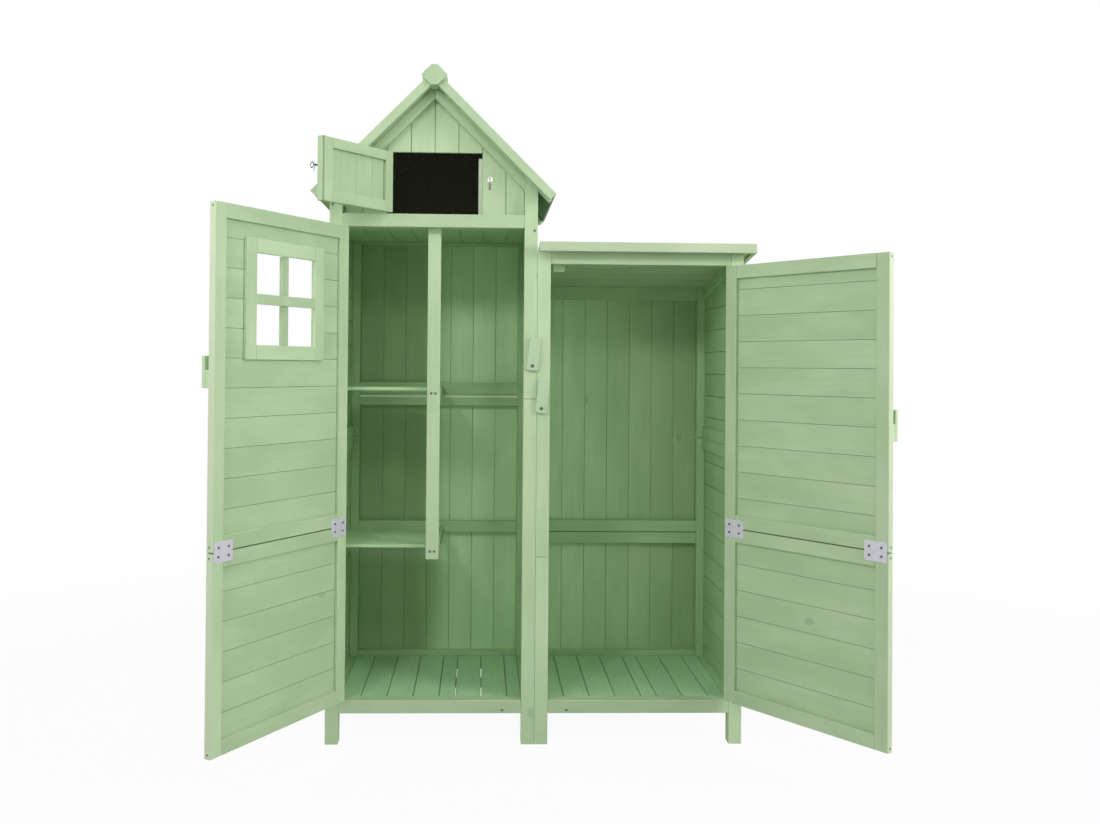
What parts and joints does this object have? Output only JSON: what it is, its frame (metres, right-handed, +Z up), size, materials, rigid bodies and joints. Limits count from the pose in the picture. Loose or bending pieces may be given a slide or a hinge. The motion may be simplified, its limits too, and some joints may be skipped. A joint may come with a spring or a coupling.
{
  "type": "garden tool shed",
  "caption": "Wooden garden tool shed with a tall gabled bay and loft beside a lower bay under a pent roof, hinged boarded doors and turn-button latches.",
  "frame": {"origin": "on the ground, in the middle of the foot of the tall bay's right front post", "axes": "+X along the front from the tall bay to the short bay, +Y from front to back, +Z up"},
  "size_m": [1.5599, 0.8823, 1.7485],
  "materials": {
    "stained_wood": "matt sage green stain over planed softwood",
    "galvanised_steel": "galvanised"
  },
  "bodies": {
    "carcass": {"carcass_screws": "galvanised_steel", "divider_post": "stained_wood", "flat_roof_boards": "stained_wood", "flat_roof_edges": "stained_wood", "floor_bearers": "stained_wood", "gable_back_boards": "stained_wood", "gable_front_boards": "stained_wood", "gable_rakes": "stained_wood", "hinge_pins": "galvanised_steel", "hinge_post_leaves": "galvanised_steel", "loft_door_stop": "stained_wood", "loft_floor_boards": "stained_wood", "loft_staple": "galvanised_steel", "lower_shelf": "stained_wood", "partition_boards": "stained_wood", "ridge_bar": "stained_wood", "roof_left_battens": "stained_wood", "roof_left_boards": "stained_wood", "roof_right_battens": "stained_wood", "roof_right_boards": "stained_wood", "shelf_bearers": "stained_wood", "short_back_boards": "stained_wood", "short_back_posts": "stained_wood", "short_back_rails": "stained_wood", "short_floor_boards": "stained_wood", "short_front_left_post": "stained_wood", "short_front_rails": "stained_wood", "short_front_right_post": "stained_wood", "short_right_boards": "stained_wood", "short_side_rails": "stained_wood", "tall_back_boards": "stained_wood", "tall_back_posts": "stained_wood", "tall_back_rails": "stained_wood", "tall_floor_boards": "stained_wood", "tall_front_left_post": "stained_wood", "tall_front_rails": "stained_wood", "tall_front_right_post": "stained_wood", "tall_left_boards": "stained_wood", "tall_side_rails": "stained_wood", "upper_shelf": "stained_wood"},
    "tall_door": {"tall_door_boards": "stained_wood", "tall_door_hinge_leaves": "galvanised_steel", "tall_door_keeper": "stained_wood", "tall_door_plates": "galvanised_steel", "tall_door_rails": "stained_wood", "tall_door_stiles": "stained_wood", "window_trim": "stained_wood", "window_bars": "stained_wood"},
    "short_door": {"short_door_boards": "stained_wood", "short_door_hinge_leaves": "galvanised_steel", "short_door_keeper": "stained_wood", "short_door_plates": "galvanised_steel", "short_door_rails": "stained_wood", "short_door_stiles": "stained_wood"},
    "loft_door": {"loft_door_frame": "stained_wood", "loft_door_boards": "stained_wood", "loft_door_hardware": "galvanised_steel"},
    "hasp": {"hasp_strap": "galvanised_steel"},
    "tall_button": {"tall_turn_button": "stained_wood"},
    "short_button": {"short_turn_button": "stained_wood"}
  },
  "joints": [
    {"name": "tall_door_hinge", "type": "hinge", "parent": "carcass", "child": "tall_door", "pos_m": [-0.488, -0.0206, 0.7], "axis": [0, 0, -1], "range_deg": [-120.6, 54.4]},
    {"name": "short_door_hinge", "type": "hinge", "parent": "carcass", "child": "short_door", "pos_m": [0.5226, -0.0206, 0.7], "axis": [0, 0, 1], "range_deg": [-127, 48]},
    {"name": "loft_door_hinge", "type": "hinge", "parent": "carcass", "child": "loft_door", "pos_m": [-0.3765, 0.0034, 1.454], "axis": [0, 0, -1], "range_deg": [-129, 0]},
    {"name": "hasp_hinge", "type": "hinge", "parent": "loft_door", "child": "hasp", "pos_m": [-0.52573, -0.182, 1.468], "axis": [0, 0, -1], "range_deg": [-100, 65]},
    {"name": "tall_button_pivot", "type": "hinge", "parent": "carcass", "child": "tall_button", "pos_m": [0.0053, -0.022, 0.98], "axis": [0, -1, 0], "range_deg": [-20, 96.5]},
    {"name": "short_button_pivot", "type": "hinge", "parent": "carcass", "child": "short_button", "pos_m": [0.0293, -0.022, 0.87], "axis": [0, 1, 0], "range_deg": [-25, 85]}
  ]
}
